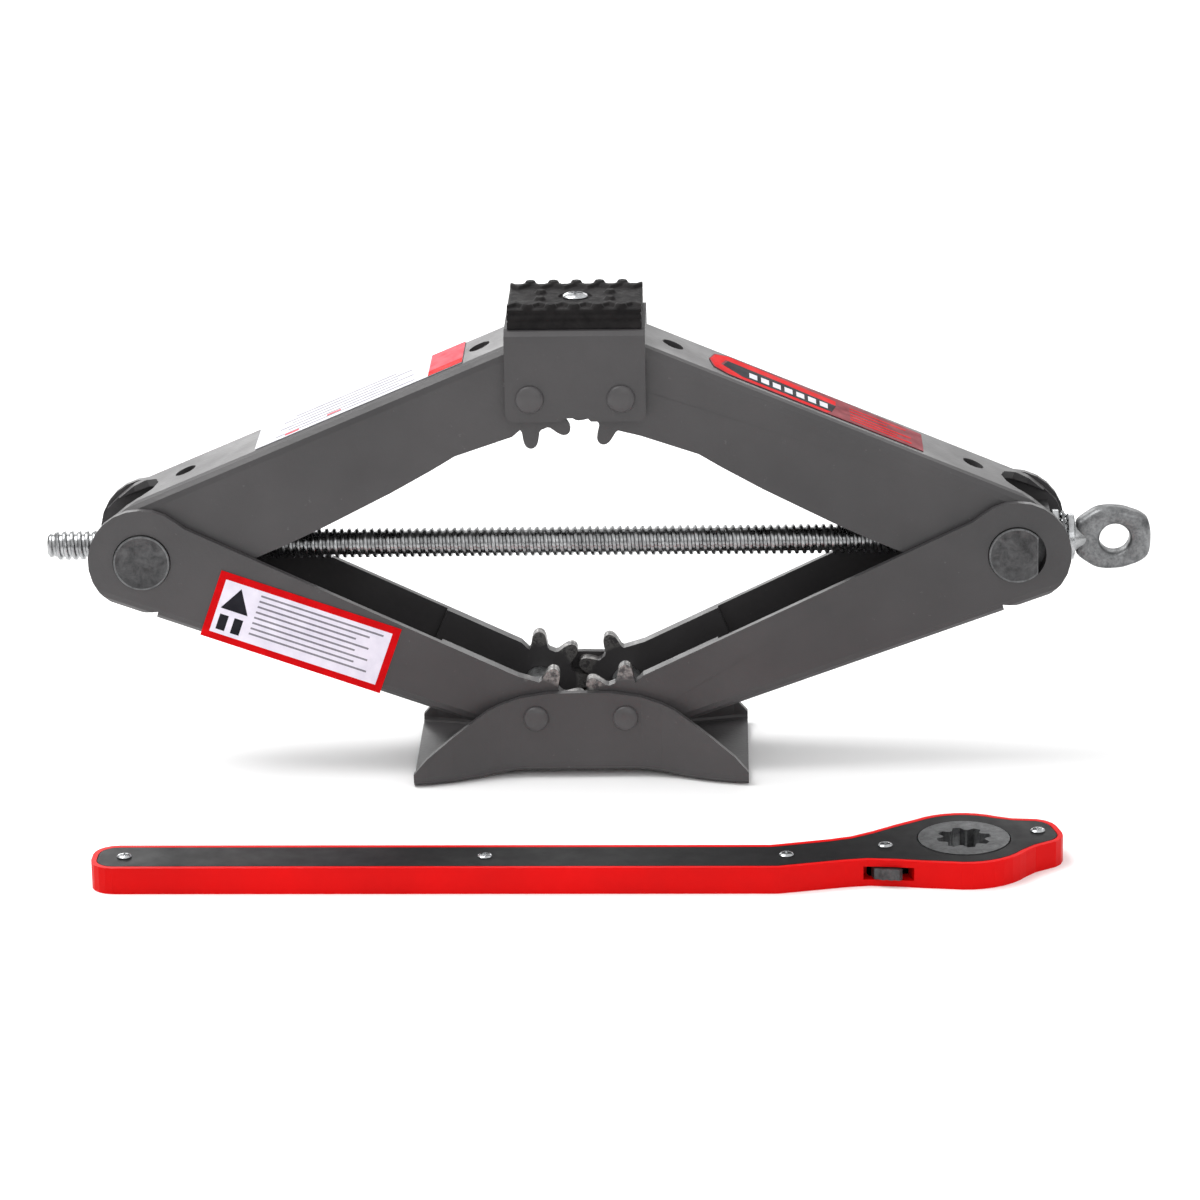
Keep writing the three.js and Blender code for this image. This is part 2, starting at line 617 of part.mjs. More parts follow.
function makeWrench() {
  const top = WRENCH_HEIGHT;
  const ring = headPoint(RING_AT, 0);
  const holes = (radius, low, high) => screwSpots().map(([x, y]) =>
    prismZ(circle(x, y, radius, 10), low, high));
  const headPrism = (outline, low, high) => prismZ(outline.map(([a, b]) => headPoint(a, b)), low, high);
  const recess = wrenchOutline(RIM);
  const pawlRoom = [[34, -9.2], [62, -12], [62, 12], [34, 9.2]];
  const windowShape = [[31, -30], [49, -30], [49, -6], [31, -6]];
  let body = cut(prismZ(wrenchOutline(0), 0, top),
    prismZ(recess, top - PLATE_RECESS, top + 1),
    prismZ(recess, -1, PLATE_RECESS),
    prismZ(circle(ring[0], ring[1], RING_CAVITY, 32), -1, top + 1),
    headPrism(pawlRoom, -1, top + 1),
    headPrism(windowShape, 2.6, 7.8),
    ...holes(1.7, -1, top + 1));
  const plateShape = wrenchOutline(RIM + GAP);
  const plate = (low, high) => cut(prismZ(plateShape, low, high),
    prismZ(circle(ring[0], ring[1], RING_FLANGE + 0.45, 32), -1, top + 1),
    ...holes(1.7, -1, top + 1));
  const nodes = [
    node('wrench_body', body, RED_BODY),
    node('wrench_top_plate', plate(top - PLATE_THICK, top), BLACK_PLATE),
    node('wrench_bottom_plate', plate(0, PLATE_THICK), BLACK_PLATE),
  ];
  screwSpots().forEach(([x, y], i) => {
    const head = top + 0.1;
    const profile = [[0, 0.15], [1.3, 0.15], [1.3, head], [2.8, head], [2.8, head + 0.4],
      [1.9, head + 1], [0, head + 1]];
    const slot = (a, b) => boxSolid(x - a, y - b, head + 0.5, x + a, y + b, head + 3);
    const screw = cut(turned(profile, 'z', [x, y, 0], 12), slot(1.6, 0.35), slot(0.35, 1.6));
    nodes.push(node(`wrench_screw_${i + 1}`, screw, ZINC));
  });
  return [...nodes, ...makeRatchet(ring, headPrism)];
}

function makeRatchet(ring, headPrism) {
  const top = WRENCH_HEIGHT;
  const gear = [];
  for (let i = 0; i < RATCHET_TEETH; i += 1) {
    const step = 360 / RATCHET_TEETH;
    gear.push(...arc(RING_AT, 0, RING_FLANGE + 0.6, i * step, i * step + step * 0.3, 1));
    gear.push(...arc(RING_AT, 0, RING_FLANGE + 1.9, i * step + step * 0.45, i * step + step * 0.75, 1));
  }
  const star = [];
  for (let i = 0; i < 8; i += 1) {
    star.push(...arc(RING_AT, 0, 10.4, i * 45 - 8, i * 45 + 8, 1));
    star.push(...arc(RING_AT, 0, 7.9, i * 45 + 19, i * 45 + 26, 1));
  }
  const collar = circle(RING_AT, 0, RING_FLANGE, 32);
  const drive = cut(
    add(headPrism(gear, 2.3, 8.1), headPrism(collar, 0.2, top + 0.2)),
    headPrism(star, -1, top + 2));
  const pivot = circle(PAWL_PIVOT_AT, 0, 2, 16);
  const pawlShape = [[40, -5], [47, -5], [51.4, -4.2], [52.8, -1.6], [52.8, 1.6], [51.4, 4.2],
    [47, 5], [40, 5], [38.4, 3], [38.4, -3]];
  const pawl = cut(headPrism(pawlShape, 1.6, 4.6), headPrism(pivot, 0, 12));
  const lever = cut(
    add(headPrism(circle(PAWL_PIVOT_AT, 0, 4.6, 20), 5, 7.4),
      headPrism([[40.6, -1], [45.4, -1], [43.6, -11.6], [37.8, -11.6]], 5, 7.4),
      headPrism([[34.6, -10.4], [44.6, -11.4], [44.8, -17.4], [43.4, -18.3], [41.8, -17.2],
        [40.4, -17.4], [39, -16], [37.6, -16.2], [36.2, -14.8], [34.8, -14.2]], 3.1, 7.4)),
    headPrism(pivot, 0, 12));
  return [
    node('ratchet_ring', drive, ZINC),
    node('ratchet_pawl', pawl, ZINC),
    node('direction_lever', lever, ZINC),
  ];
}

// ================= assembly =================

const jack = new THREE.Group();
jack.name = 'scissor_car_jack';
const upperGrip = LOWER_HALF_WIDTH;
const lowerInner = LOWER_HALF_WIDTH - SHEET - HEM - GAP;
const upperInner = UPPER_HALF_WIDTH - SHEET - GAP;
const parts = [
  makeBase(),
  makePin('lower_pivot_pin_left', -PITCH_RADIUS, LOWER_PIVOT_Z, BASE_HALF_DEPTH),
  makePin('lower_pivot_pin_right', PITCH_RADIUS, LOWER_PIVOT_Z, BASE_HALF_DEPTH),
  makeSpacer('lower_spacer_left', -PITCH_RADIUS, LOWER_PIVOT_Z, lowerInner),
  makeSpacer('lower_spacer_right', PITCH_RADIUS, LOWER_PIVOT_Z, lowerInner),
  makeArm(-1, -1),
  makeArm(1, -1),
  makeArm(-1, 1),
  makeArm(1, 1),
  makeSaddle(),
  makePin('upper_pivot_pin_left', -PITCH_RADIUS, UPPER_PIVOT_Z, upperGrip),
  makePin('upper_pivot_pin_right', PITCH_RADIUS, UPPER_PIVOT_Z, upperGrip),
  makeSpacer('upper_spacer_left', -PITCH_RADIUS, UPPER_PIVOT_Z, upperInner),
  makeSpacer('upper_spacer_right', PITCH_RADIUS, UPPER_PIVOT_Z, upperInner),
  makePad(),
  ...makePadFixings(),
  makeTrunnionNut(),
  makeTrunnionBlock(),
  ...makeThrustBearing(),
  makeScrew(),
  ...makeLabels(),
  ...makeWrench(),
];
parts.forEach((part) => jack.add(part));

export default jack;
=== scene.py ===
"""Scissor car jack and its ratchet wrench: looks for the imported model. Blender 4.5, metres."""
import json
import math

import bmesh
import bpy
from mathutils import Matrix, Vector


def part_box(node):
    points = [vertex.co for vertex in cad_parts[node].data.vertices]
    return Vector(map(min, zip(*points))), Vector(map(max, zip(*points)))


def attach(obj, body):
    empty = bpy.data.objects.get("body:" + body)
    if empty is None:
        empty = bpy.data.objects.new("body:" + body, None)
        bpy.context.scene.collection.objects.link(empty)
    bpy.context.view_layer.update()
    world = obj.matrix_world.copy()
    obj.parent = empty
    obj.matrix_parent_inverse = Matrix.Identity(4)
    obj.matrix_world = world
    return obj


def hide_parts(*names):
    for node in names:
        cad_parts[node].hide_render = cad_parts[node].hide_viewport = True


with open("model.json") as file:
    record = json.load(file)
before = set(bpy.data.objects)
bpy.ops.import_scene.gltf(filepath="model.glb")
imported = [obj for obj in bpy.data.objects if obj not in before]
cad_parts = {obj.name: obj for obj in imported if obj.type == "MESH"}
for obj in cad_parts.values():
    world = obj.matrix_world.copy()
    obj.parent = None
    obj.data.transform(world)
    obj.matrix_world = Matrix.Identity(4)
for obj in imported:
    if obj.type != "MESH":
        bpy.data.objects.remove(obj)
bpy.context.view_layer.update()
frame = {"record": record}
MM = 0.001
LOWER_ARM_FACE = 23.5       # mm from the middle plane to the outer face of a lower arm
UPPER_WEB_FACE = 22         # mm from the line of pivots to the top of an upper arm's web
JOURNAL_RADIUS = 11.15
JOURNAL_PROUD = 0.9
JOURNAL_FLAT = 8.2          # mm from a right journal's axis to its flat
PIN_SHANK = 4.5
PIN_EDGE = 0.35             # height of the cylindrical edge below a pin's dome
THREAD_PITCH = 3.0
THREAD_CREST = 5.9
THREAD_ROOT = 4.7
EYE_HOLE = 6.1
EYE_CENTRE = 39.8           # mm from the right trunnion's axis
BALLS = 12
BALL_RADIUS = 1.38
BALL_CIRCLE = 8.7
TREAD_PITCH = 9.1
WEAR_STARTS = (0.0145, 0.0165)      # m from a geared pivot: bare steel fades in
WEAR_ENDS = (0.0220, 0.0235)        # and fades out again past the tips of the teeth
WEAR_SIDE = (0.003, 0.005)          # m outward of the pivot, where it also fades out


# ---------------------------------------------------------------- positions

def joint_pos(name):
    for joint in frame["record"]["behaviour"]["joints"]:
        if joint["name"] == name:
            return Vector(joint["pos_m"])
    raise KeyError(name)


TRUNNION_RIGHT = joint_pos("right_trunnion_level")
TRUNNION_LEFT = joint_pos("left_trunnion_level")
PIVOTS = {
    "lower_left": joint_pos("lower_left_lift"),
    "lower_right": joint_pos("lower_right_lift"),
    "saddle_left": joint_pos("saddle_level"),
}
PIVOTS["saddle_right"] = Vector((-PIVOTS["saddle_left"].x, 0, PIVOTS["saddle_left"].z))


# ---------------------------------------------------------------- materials

class Nodes:
    """A short way to write a procedural material."""

    def __init__(self, name):
        self.material = bpy.data.materials.new(name)
        self.material.use_nodes = True
        self.tree = self.material.node_tree
        self.tree.nodes.clear()
        self.out = self.tree.nodes.new("ShaderNodeOutputMaterial")
        self.shader = self.tree.nodes.new("ShaderNodeBsdfPrincipled")
        self.tree.links.new(self.shader.outputs[0], self.out.inputs[0])
        self.coords = self.tree.nodes.new("ShaderNodeTexCoord").outputs["Object"]

    def link(self, a, b):
        self.tree.links.new(a, b)

    def noise(self, scale, detail=4.0, rough=0.55, distortion=0.0):
        node = self.tree.nodes.new("ShaderNodeTexNoise")
        node.inputs["Scale"].default_value = scale
        node.inputs["Detail"].default_value = detail
        node.inputs["Roughness"].default_value = rough
        node.inputs["Distortion"].default_value = distortion
        self.link(self.coords, node.inputs["Vector"])
        return node.outputs[0]

    def ramp(self, value, stops):
        node = self.tree.nodes.new("ShaderNodeValToRGB")
        elements = node.color_ramp.elements
        while len(elements) < len(stops):
            elements.new(0.5)
        for element, (place, color) in zip(elements, stops):
            element.position = place
            element.color = (*color, 1)
        self.link(value, node.inputs[0])
        return node.outputs[0]

    def span(self, value, low, high, start=0.3, end=0.7):
        node = self.tree.nodes.new("ShaderNodeMapRange")
        for key, number in (("From Min", start), ("From Max", end), ("To Min", low), ("To Max", high)):
            node.inputs[key].default_value = number
        self.link(value, node.inputs[0])
        return node.outputs[0]

    def mix(self, factor, a, b):
        node = self.tree.nodes.new("ShaderNodeMix")
        node.data_type = "RGBA"
        for socket, value in ((node.inputs[0], factor), (node.inputs[6], a), (node.inputs[7], b)):
            if isinstance(value, bpy.types.NodeSocket):
                self.link(value, socket)
            else:
                socket.default_value = (*value, 1)
        return node.outputs[2]

    def bump(self, height, strength, distance, below=None):
        node = self.tree.nodes.new("ShaderNodeBump")
        node.inputs["Strength"].default_value = strength
        node.inputs["Distance"].default_value = distance
        self.link(height, node.inputs["Height"])
        if below is not None:
            self.link(below, node.inputs["Normal"])
        return node.outputs[0]

    def done(self, color=None, roughness=None, normal=None, **fixed):
        for value, key in ((color, "Base Color"), (roughness, "Roughness"), (normal, "Normal")):
            if value is not None:
                self.link(value, self.shader.inputs[key])
        for key, value in fixed.items():
            self.shader.inputs[key.replace("_", " ")].default_value = value
        return self.material


def srgb(*values):
    return tuple((v / 255 / 12.92) if v <= 10 else (((v / 255) + 0.055) / 1.055) ** 2.4 for v in values)


def paint(name, dark, light, chip, rough=(0.34, 0.46), worn_at=None):
    """Thick grey paint with chips; worn_at is a geared pivot whose teeth are rubbed down to steel."""
    n = Nodes(name)
    broad = n.noise(14, 5)
    fine = n.noise(900, 3)
    base = n.ramp(broad, [(0.3, dark), (0.7, light)])
    specks = n.ramp(n.noise(320, 6, 0.7), [(0.66, (0, 0, 0)), (0.74, (1, 1, 1))])
    color = n.mix(n.span(specks, 0.0, 0.35, 0, 1), base, chip)
    peel = n.bump(n.noise(620, 2, 0.4), 0.16, 0.0004)
    grain = n.bump(fine, 0.08, 0.0002, peel)
    if worn_at is not None:
        mask = tooth_wear(n, worn_at)
        color = n.mix(mask, color, WORN_TOOTH)
        n.link(n.span(mask, 0.0, 0.85, 0, 1), n.shader.inputs["Metallic"])
    return n.done(color, n.span(n.noise(60, 4), *rough), grain, Specular_IOR_Level=0.42)


def tooth_wear(n, pivot):
    """Patches in a ring round the pivot, where the teeth are, on the side of the other gear only."""
    flatten = n.tree.nodes.new("ShaderNodeMapping")
    flatten.inputs["Scale"].default_value = (1, 0, 1)
    n.link(n.coords, flatten.inputs[0])
    away = n.tree.nodes.new("ShaderNodeVectorMath")
    away.operation = "DISTANCE"
    away.inputs[1].default_value = (pivot.x, 0, pivot.z)
    n.link(flatten.outputs[0], away.inputs[0])
    mask = n.span(away.outputs["Value"], 0.0, 1.0, *WEAR_STARTS)
    past_tips = n.span(away.outputs["Value"], 1.0, 0.0, *WEAR_ENDS)
    patches = n.span(n.noise(420, 5, 0.65), 0.0, 1.0, 0.4, 0.56)
    place = n.tree.nodes.new("ShaderNodeSeparateXYZ")
    n.link(n.coords, place.inputs[0])
    near, far = (pivot.x + math.copysign(reach, pivot.x) for reach in WEAR_SIDE)
    inward = n.span(place.outputs[0], 1.0, 0.0, near, far)
    for other in (past_tips, patches, inward):
        times = n.tree.nodes.new("ShaderNodeMath")
        times.operation = "MULTIPLY"
        n.link(mask, times.inputs[0])
        n.link(other, times.inputs[1])
        mask = times.outputs[0]
    return mask


def zinc(name, dark, light, rough=(0.24, 0.5), metallic=0.9, scale=1.0, relief=0.3, pitting=0.45):
    n = Nodes(name)
    blotch = n.ramp(n.noise(210 * scale, 7, 0.7, distortion=0.6), [(0.32, dark), (0.68, light)])
    pits = n.ramp(n.noise(900 * scale, 3, 0.6), [(0.35, (0.35, 0.35, 0.35)), (0.55, (1, 1, 1))])
    node = n.tree.nodes.new("ShaderNodeMix")
    node.data_type = "RGBA"
    node.blend_type = "MULTIPLY"
    node.inputs[0].default_value = pitting
    n.link(blotch, node.inputs[6])
    n.link(pits, node.inputs[7])
    normal = n.bump(n.noise(520 * scale, 5, 0.6), relief, 0.0004)
    return n.done(node.outputs[2], n.span(n.noise(150, 5), *rough), normal, Metallic=metallic)


def rubber(name):
    n = Nodes(name)
    color = n.ramp(n.noise(160, 6, 0.65), [(0.3, srgb(13, 12, 13)), (0.72, srgb(34, 32, 32))])
    normal = n.bump(n.noise(1400, 4, 0.6), 0.35, 0.0003)
    return n.done(color, n.span(n.noise(300, 4), 0.5, 0.75), normal, Specular_IOR_Level=0.12)


def enamel(name, dark, light, rough=(0.26, 0.38)):
    n = Nodes(name)
    color = n.ramp(n.noise(22, 5), [(0.28, dark), (0.72, light)])
    wave = n.bump(n.noise(170, 2, 0.4), 0.1, 0.0004)
    grain = n.bump(n.noise(1300, 3), 0.1, 0.00012, wave)
    return n.done(color, n.span(n.noise(90, 5), *rough), grain, Specular_IOR_Level=0.1)


def printed(name, dark, light):
    n = Nodes(name)
    color = n.ramp(n.noise(180, 5), [(0.3, dark), (0.7, light)])
    normal = n.bump(n.noise(260, 3), 0.06, 0.0003)
    return n.done(color, n.span(n.noise(120, 3), 0.5, 0.65), normal, Specular_IOR_Level=0.08)


GREY = (srgb(54, 53, 54), srgb(67, 65, 66), srgb(112, 110, 110))
WORN_TOOTH = srgb(138, 136, 134)
PAINT = paint("grey_paint", *GREY)
PIN_PAINT = paint("pin_paint", srgb(58, 57, 58), srgb(76, 74, 75), srgb(128, 126, 126))
ZINC = zinc("zinc", srgb(128, 130, 131), srgb(205, 207, 208))
FORGED = zinc("forged_zinc", srgb(92, 93, 94), srgb(138, 139, 140), (0.3, 0.5), 0.85, 1.0, 0.25)
STEEL = zinc("bright_steel", srgb(158, 159, 160), srgb(196, 198, 200), (0.16, 0.3), 1.0, 0.6)
THREAD = zinc("thread_steel", srgb(120, 121, 122), srgb(176, 177, 178), (0.2, 0.34), 1.0, 0.7, 0.08, 0.2)
PIN_STEEL = zinc("worn_steel", srgb(50, 50, 51), srgb(88, 88, 89), (0.34, 0.5), 0.7, 0.8, 0.12, 0.25)
RING_STEEL = zinc("ring_steel", srgb(70, 71, 72), srgb(118, 119, 120), (0.3, 0.46), 0.75, 1.0, 0.14, 0.3)
RUBBER = rubber("rubber")
RED = enamel("red_enamel", srgb(190, 0, 0), srgb(212, 0, 1), (0.4, 0.5))
BLACK = enamel("black_plate", srgb(17, 17, 18), srgb(30, 29, 30), (0.34, 0.5))
LABEL_WHITE = printed("label_white", srgb(214, 210, 224), srgb(228, 224, 236))
LABEL_RED = printed("label_red", srgb(184, 0, 6), srgb(204, 2, 10))
LABEL_PINK = printed("label_pink", srgb(184, 60, 72), srgb(206, 88, 98))
LABEL_ROSE = printed("label_rose", srgb(104, 44, 50), srgb(138, 66, 72))
LABEL_GREY = printed("label_grey", srgb(120, 118, 128), srgb(136, 134, 142))
LABEL_BLACK = printed("label_black", srgb(24, 24, 30), srgb(36, 36, 42))
LABEL_PALE = printed("label_pale", srgb(196, 196, 202), srgb(210, 210, 214))


# ---------------------------------------------------------------- mesh helpers

def give(obj, *materials):
    obj.data.materials.clear()
    for material in materials:
        obj.data.materials.append(material)


def soften(obj, width, segments=2, angle=32, dissolve=True):
    """Flat faces are joined, then every hard edge gets the small radius of a pressed or forged one."""
    if dissolve:
        join = obj.modifiers.new("flats", "DECIMATE")
        join.decimate_type = "DISSOLVE"
        join.angle_limit = math.radians(1.2)
    bevel = obj.modifiers.new("edges", "BEVEL")
    bevel.width = width * MM
    bevel.segments = segments
    bevel.limit_method = "ANGLE"
    bevel.angle_limit = math.radians(angle)
    bevel.use_clamp_overlap = True
    even = obj.modifiers.new("normals", "WEIGHTED_NORMAL")
    even.keep_sharp = True
    for polygon in obj.data.polygons:
        polygon.use_smooth = True


def cad(node):
    return bpy.data.objects[node]


def dress(node, material, width, segments=2, angle=32):
    """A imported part's material and its softened edges."""
    give(cad(node), material)
    soften(cad(node), width, segments, angle)


def new_mesh(name, verts, faces, *materials, smooth=True):
    mesh = bpy.data.meshes.new(name)
    mesh.from_pydata([tuple(v) for v in verts], [], faces)
    mesh.update()
    obj = bpy.data.objects.new(name, mesh)
    bpy.context.collection.objects.link(obj)
    give(obj, *materials)
    work = bmesh.new()
    work.from_mesh(mesh)
    bmesh.ops.recalc_face_normals(work, faces=work.faces)
    work.to_mesh(mesh)
    work.free()
    for polygon in mesh.polygons:
        polygon.use_smooth = smooth
    return obj


def sharp(obj, angle=35):
    """Faces keep a crisp line where they meet at more than the angle."""
    mesh = obj.data
    work = bmesh.new()
    work.from_mesh(mesh)
    for edge in work.edges:
        if len(edge.link_faces) == 2 and edge.calc_face_angle(0) > math.radians(angle):
            edge.smooth = False
    work.to_mesh(mesh)
    work.free()
    return obj


AXES = {
    "x": (Vector((1, 0, 0)), Vector((0, 1, 0)), Vector((0, 0, 1))),
    "y": (Vector((0, 1, 0)), Vector((0, 0, 1)), Vector((1, 0, 0))),
    "z": (Vector((0, 0, 1)), Vector((1, 0, 0)), Vector((0, 1, 0))),
}


def lathe(name, profile, axis, at, material, steps=48):
    """A turned piece from (radius, height) pairs in mm; a radius of 0 closes an end."""
    along, first, second = AXES[axis]
    verts, rows = [], []
    for radius, height in profile:
        if radius == 0:
            rows.append([len(verts)])
            verts.append(at + along * height * MM)
            continue
        row = []
        for i in range(steps):
            a = 2 * math.pi * i / steps
            row.append(len(verts))
            verts.append(at + along * height * MM
                         + (first * math.cos(a) + second * math.sin(a)) * radius * MM)
        rows.append(row)
    closed = profile[0][0] != 0
    pairs = list(zip(rows, rows[1:])) + ([(rows[-1], rows[0])] if closed else [])
    faces = []
    for low, high in pairs:
        for i in range(steps):
            j = (i + 1) % steps
            if len(low) == 1:
                faces.append((low[0], high[i], high[j]))
            elif len(high) == 1:
                faces.append((low[i], low[j], high[0]))
            else:
                faces.append((low[i], low[j], high[j], high[i]))
    return sharp(new_mesh(name, verts, faces, material))


def slab(name, outline, low, high, place, materials, bevel=0.0):
    """A flat piece: an outline in (a, b) mm, from height low to high, put in space by place(a, b, h)."""
    count = len(outline)
    verts = [place(a, b, low) for a, b in outline] + [place(a, b, high) for a, b in outline]
    faces = [tuple(range(count)), tuple(range(2 * count - 1, count - 1, -1))]
    faces += [(i, (i + 1) % count, (i + 1) % count + count, i + count) for i in range(count)]
    obj = new_mesh(name, verts, faces, *materials, smooth=False)
    if bevel:
        soften(obj, bevel, 2, 40, dissolve=False)
    return obj


def joined(name, pieces):
    """Several meshes as one object, with the first one's materials kept in order."""
    target = pieces[0]
    for other in pieces[1:]:
        for material in other.data.materials:
            if material.name not in [m.name for m in target.data.materials]:
                target.data.materials.append(material)
    order = {m.name: i for i, m in enumerate(target.data.materials)}
    work = bmesh.new()
    for piece in pieces:
        slots = [order[m.name] for m in piece.data.materials]
        start = len(work.faces)
        work.from_mesh(piece.data)
        work.faces.ensure_lookup_table()
        if piece is not target:
            for face in work.faces[start:]:
                face.material_index = slots[face.material_index]
    mesh = target.data
    work.to_mesh(mesh)
    work.free()
    for piece in pieces[1:]:
        bpy.data.objects.remove(piece, do_unlink=True)
    target.name = name
    mesh.name = name
    return target


# ---------------------------------------------------------------- sheet metal

for node in ("base_plate", "upper_arm_left", "upper_arm_right", "saddle_bracket"):
    dress(node, PAINT, 0.7, 3)

for side in ("left", "right"):
    dress(f"lower_arm_{side}",
          paint(f"lower_{side}_arm_paint", *GREY, worn_at=PIVOTS[f"lower_{side}"]), 0.7, 3)


# ---------------------------------------------------------------- pins

def pin(name, node, body, at, radius, rise):
    """A headed pin: a low dome over a short cylindrical edge, at both ends."""
    low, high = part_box(node)
    reach = (high[1] - low[1]) / 2 / MM
    neck = reach - rise
    dome = [(radius, -neck), (radius, -neck - PIN_EDGE)]
    for k in range(1, 7):
        t = k / 6
        dome.append((radius * math.cos(t * math.pi / 2 * 0.98),
                     -neck - PIN_EDGE - (rise - PIN_EDGE) * math.sin(t * math.pi / 2)))
    dome.append((0, -reach))
    front = list(reversed(dome))
    shank = [(PIN_SHANK, -neck), (PIN_SHANK, neck)]
    back = [(r, -h) for r, h in dome]
    made = lathe(name, front + shank + back, "y", at, PIN_PAINT, 40)
    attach(made, body)
    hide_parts(node)


for side in ("left", "right"):
    pin(f"lower_pin_{side}", f"lower_pivot_pin_{side}", "base", PIVOTS[f"lower_{side}"], 5.0, 2.0)
    pin(f"upper_pin_{side}", f"upper_pivot_pin_{side}", "saddle", PIVOTS[f"saddle_{side}"], 5.5, 2.0)
    for level in ("lower", "upper"):
        dress(f"{level}_spacer_{side}", ZINC, 0.3, 2, 50)

dress("trunnion_nut", PIN_STEEL, 0.4, 2, 30)
dress("trunnion_block", PIN_STEEL, 0.4, 2, 30)


def journal_face(name, body, at, side, flat=None):
    """The turned end face of a trunnion: a bright chamfered rim in lighter steel round a darker face."""
    reach = LOWER_ARM_FACE + JOURNAL_PROUD
    steps = 72
    rim = reach + 0.22
    rings = [(JOURNAL_RADIUS, reach - 1.2), (JOURNAL_RADIUS, reach + 0.02),
             (JOURNAL_RADIUS - 0.3, rim), (JOURNAL_RADIUS - 0.75, rim),
             (JOURNAL_RADIUS - 1.05, reach + 0.1), (5.0, reach + 0.08)]
    verts, faces = [], []
    for radius, height in rings:
        for i in range(steps):
            a = 2 * math.pi * i / steps
            x = radius * math.cos(a)
            if flat is not None:
                x = min(x, flat - (JOURNAL_RADIUS - radius) * 0.6 + 0.02)
            verts.append(at + Vector((x, side * height, radius * math.sin(a))) * MM)
    for r in range(len(rings) - 1):
        for i in range(steps):
            j = (i + 1) % steps
            faces.append((r * steps + i, r * steps + j, (r + 1) * steps + j, (r + 1) * steps + i))
    last = (len(rings) - 1) * steps
    faces.append(tuple(last + i for i in range(steps)))
    faces.append(tuple(range(steps - 1, -1, -1)))
    made = sharp(new_mesh(name, verts, faces, PIN_STEEL, RING_STEEL), 25)
    for polygon in made.data.polygons[steps:3 * steps]:
        polygon.material_index = 1
    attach(made, body)


for side, label in ((-1, "front"), (1, "back")):
    journal_face(f"left_journal_face_{label}", "left_trunnion", TRUNNION_LEFT, side)
    journal_face(f"right_journal_face_{label}", "right_trunnion", TRUNNION_RIGHT, side, JOURNAL_FLAT)


# ---------------------------------------------------------------- lead screw


def threaded_rod(name, start, end, at):
    """One continuous ridge wound round a core, with faces between neighbouring turns.

    The profile of the ridge is (share of the pitch, radius)."""
    around = 28
    shoulder = THREAD_CREST - 0.1
    profile = [(0.0, THREAD_ROOT), (0.30, THREAD_ROOT), (0.47, shoulder), (0.56, THREAD_CREST),
               (0.78, THREAD_CREST), (0.87, shoulder)]
    turns = int((end - start) / THREAD_PITCH) - 1
    total = turns * around
    verts, faces = [], []
    for i in range(total + 1):
        a = 2 * math.pi * i / around
        for share, radius in profile:
            x = start + (i / around + share) * THREAD_PITCH
            fade = min(1, max(0.0, (x - start - 1.0) / 2.2), max(0.0, (end - x - 1.0) / 2.2))
            r = THREAD_ROOT + (radius - THREAD_ROOT) * fade
            verts.append(at + Vector((x, r * math.cos(a), r * math.sin(a))) * MM)
    width = len(profile)
    for i in range(total):
        here, after = i * width, (i + 1) * width
        for k in range(width - 1):
            faces.append((here + k, after + k, after + k + 1, here + k + 1))
        if i + around < total:
            faces.append((here + width - 1, after + width - 1,
                          after + around * width, here + around * width))
    ridge = new_mesh(name, verts, faces, THREAD)
    work = bmesh.new()
    work.from_mesh(ridge.data)
    open_edges = [e for e in work.edges if e.is_boundary]
    bmesh.ops.holes_fill(work, edges=open_edges, sides=0)
    bmesh.ops.recalc_face_normals(work, faces=work.faces)
    work.to_mesh(ridge.data)
    work.free()
    return sharp(ridge, 30)


def eye(name, at):
    """A forged eye: a flattened head with a rounded rim and a round hole."""
    half = [(24.4, 6.4), (28.5, 9.6), (32.5, 12.1), (37, 12.7), (43, 12.3), (49.5, 10), (53.0, 7.6),
            (54, 3)]
    outline = [(x, -z) for x, z in half] + half[::-1]
    hole = Vector((EYE_CENTRE, 0))
    steps = 64

    def reach(angle):
        """How far the outline is from the hole's centre in one direction."""
        direction = Vector((math.cos(angle), math.sin(angle)))
        best = math.inf
        for (ax, ay), (bx, by) in zip(outline, outline[1:] + outline[:1]):
            p, q = Vector((ax, ay)) - hole, Vector((bx, by)) - hole
            edge = q - p
            cross = direction.x * edge.y - direction.y * edge.x
            if abs(cross) < 1e-9:
                continue
            t = (p.x * edge.y - p.y * edge.x) / cross
            s = (p.x * direction.y - p.y * direction.x) / cross
            if t > 0 and -1e-6 <= s <= 1 + 1e-6:
                best = min(best, t)
        return best

    profile = [("hole", 0.0, 3.2), ("hole", 0.9, 4.3), ("rim", -2.2, 4.5), ("rim", -0.8, 3.9),
               ("rim", 0.0, 2.4), ("rim", 0.0, 0.0)]
    sides = [(kind, off, -h) for kind, off, h in profile] + \
            [(kind, off, h) for kind, off, h in reversed(profile[:-1])]
    outer = [reach(2 * math.pi * i / steps) for i in range(steps)]
    smoothed = [(outer[i - 1] + 2 * outer[i] + outer[(i + 1) % steps]) / 4 for i in range(steps)]
    verts, faces = [], []
    for kind, off, height in sides:
        for i in range(steps):
            a = 2 * math.pi * i / steps
            r = EYE_HOLE + off if kind == "hole" else smoothed[i] + off
            verts.append(at + Vector((hole.x + r * math.cos(a), height, r * math.sin(a))) * MM)
    rows = len(sides)
    for row in range(rows):
        after = (row + 1) % rows
        for i in range(steps):
            j = (i + 1) % steps
            faces.append((row * steps + i, row * steps + j, after * steps + j, after * steps + i))
    return sharp(new_mesh(name, verts, faces, FORGED), 50)


